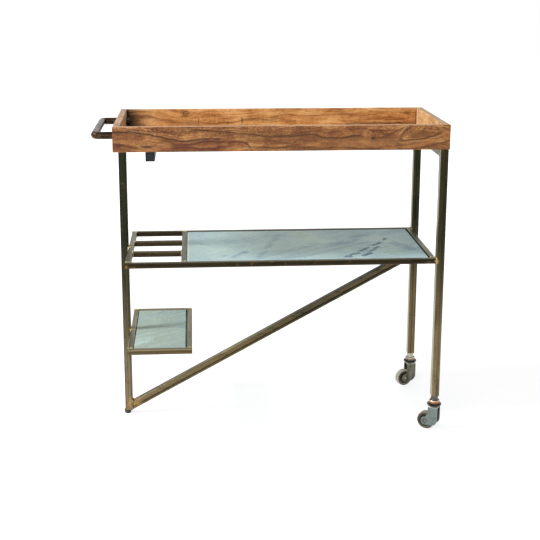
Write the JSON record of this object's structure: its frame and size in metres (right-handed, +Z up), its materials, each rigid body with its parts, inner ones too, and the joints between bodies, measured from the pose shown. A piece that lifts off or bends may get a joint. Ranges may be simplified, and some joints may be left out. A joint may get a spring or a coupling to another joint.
{
  "type": "serving trolley",
  "caption": "Serving trolley: a wooden tray with a tubular handle on a welded steel frame, with stone shelves, a glide foot and swivel casters.",
  "frame": {"origin": "on the floor, under the middle of the whole trolley's length and depth", "axes": "+X along the tray, away from the handle; +Y from front to back; +Z up"},
  "size_m": [0.9682, 0.3844, 0.88],
  "materials": {
    "oiled_boards": "oiled, with dark grain",
    "pale_planks": "oiled, pale",
    "dowel_wood": "plain",
    "frame_steel": "bare steel with a mottled bronze patina, lacquered",
    "handle_steel": "dark brown, worn to grey on top",
    "fastener_steel": "blackened",
    "cap_plastic": "matt, dark grey",
    "plug_steel": "plain",
    "glide_plastic": "matt, nearly black",
    "slab_stone": "honed, pale grey-green with cloudy patches",
    "caster_zinc": "zinc plated, dulled",
    "caster_copper": "copper coloured, satin",
    "ball_steel": "polished",
    "bush_plastic": "plain",
    "wheel_plastic": "very dark brown, satin",
    "tyre_rubber": "matt grey"
  },
  "bodies": {
    "trolley_frame": {"tray_front_board": "oiled_boards", "tray_rear_board": "oiled_boards", "tray_left_board": "oiled_boards", "tray_right_board": "oiled_boards", "tray_floor_planks": "pale_planks", "tray_dowels": "dowel_wood", "left_leg": "frame_steel", "front_right_leg": "frame_steel", "rear_right_leg": "frame_steel", "left_cross_tube": "frame_steel", "right_cross_tube": "frame_steel", "spine_stub": "frame_steel", "spine_tube": "frame_steel", "shelf_front_tube": "frame_steel", "shelf_rear_tube": "frame_steel", "shelf_left_tube": "frame_steel", "shelf_right_tube": "frame_steel", "shelf_divider": "frame_steel", "rack_bars": "frame_steel", "shelf_ledges": "frame_steel", "lower_front_tube": "frame_steel", "lower_rear_tube": "frame_steel", "lower_left_tube": "frame_steel", "lower_right_tube": "frame_steel", "lower_ledges": "frame_steel", "brace": "frame_steel", "handle_tube": "handle_steel", "tray_screws": "fastener_steel", "handle_studs": "fastener_steel", "handle_washers": "fastener_steel", "handle_nuts": "fastener_steel", "cross_tube_caps": "cap_plastic", "leg_plugs": "plug_steel", "glide_foot": "glide_plastic", "front_caster_nut": "caster_zinc", "rear_caster_nut": "caster_zinc", "front_caster_stem": "caster_zinc", "rear_caster_stem": "caster_zinc", "front_caster_collar": "caster_copper", "rear_caster_collar": "caster_copper"},
    "main_slab_plate": {"main_slab": "slab_stone"},
    "lower_slab_plate": {"lower_slab": "slab_stone"},
    "front_swivel": {"front_caster_dish": "caster_zinc", "front_caster_balls": "ball_steel", "front_fork": "caster_zinc", "front_axle": "caster_zinc"},
    "front_roller": {"front_wheel_bush": "bush_plastic", "front_wheel": "wheel_plastic", "front_tyre": "tyre_rubber"},
    "rear_swivel": {"rear_caster_dish": "caster_zinc", "rear_caster_balls": "ball_steel", "rear_fork": "caster_zinc", "rear_axle": "caster_zinc"},
    "rear_roller": {"rear_wheel_bush": "bush_plastic", "rear_wheel": "wheel_plastic", "rear_tyre": "tyre_rubber"}
  },
  "joints": [
    {"name": "front_caster_swivel", "type": "hinge", "parent": "trolley_frame", "child": "front_swivel", "pos_m": [0.46387, -0.172, 0.0745], "axis": [0, 0, 1], "continuous": true},
    {"name": "front_wheel_spin", "type": "hinge", "parent": "front_swivel", "child": "front_roller", "pos_m": [0.44564, -0.1597, 0.025], "axis": [0.5592, 0.829, 0], "continuous": true},
    {"name": "rear_caster_swivel", "type": "hinge", "parent": "trolley_frame", "child": "rear_swivel", "pos_m": [0.46387, 0.172, 0.0745], "axis": [0, 0, 1], "continuous": true},
    {"name": "rear_wheel_spin", "type": "hinge", "parent": "rear_swivel", "child": "rear_roller", "pos_m": [0.4432, 0.16448, 0.025], "axis": [-0.342, 0.9397, 0], "continuous": true},
    {"name": "main_slab_lift", "type": "slide", "parent": "trolley_frame", "child": "main_slab_plate", "axis": [0, 0, 1], "range_m": [0, 0.06]},
    {"name": "lower_slab_lift", "type": "slide", "parent": "trolley_frame", "child": "lower_slab_plate", "axis": [0, 0, 1], "range_m": [0, 0.06]}
  ]
}
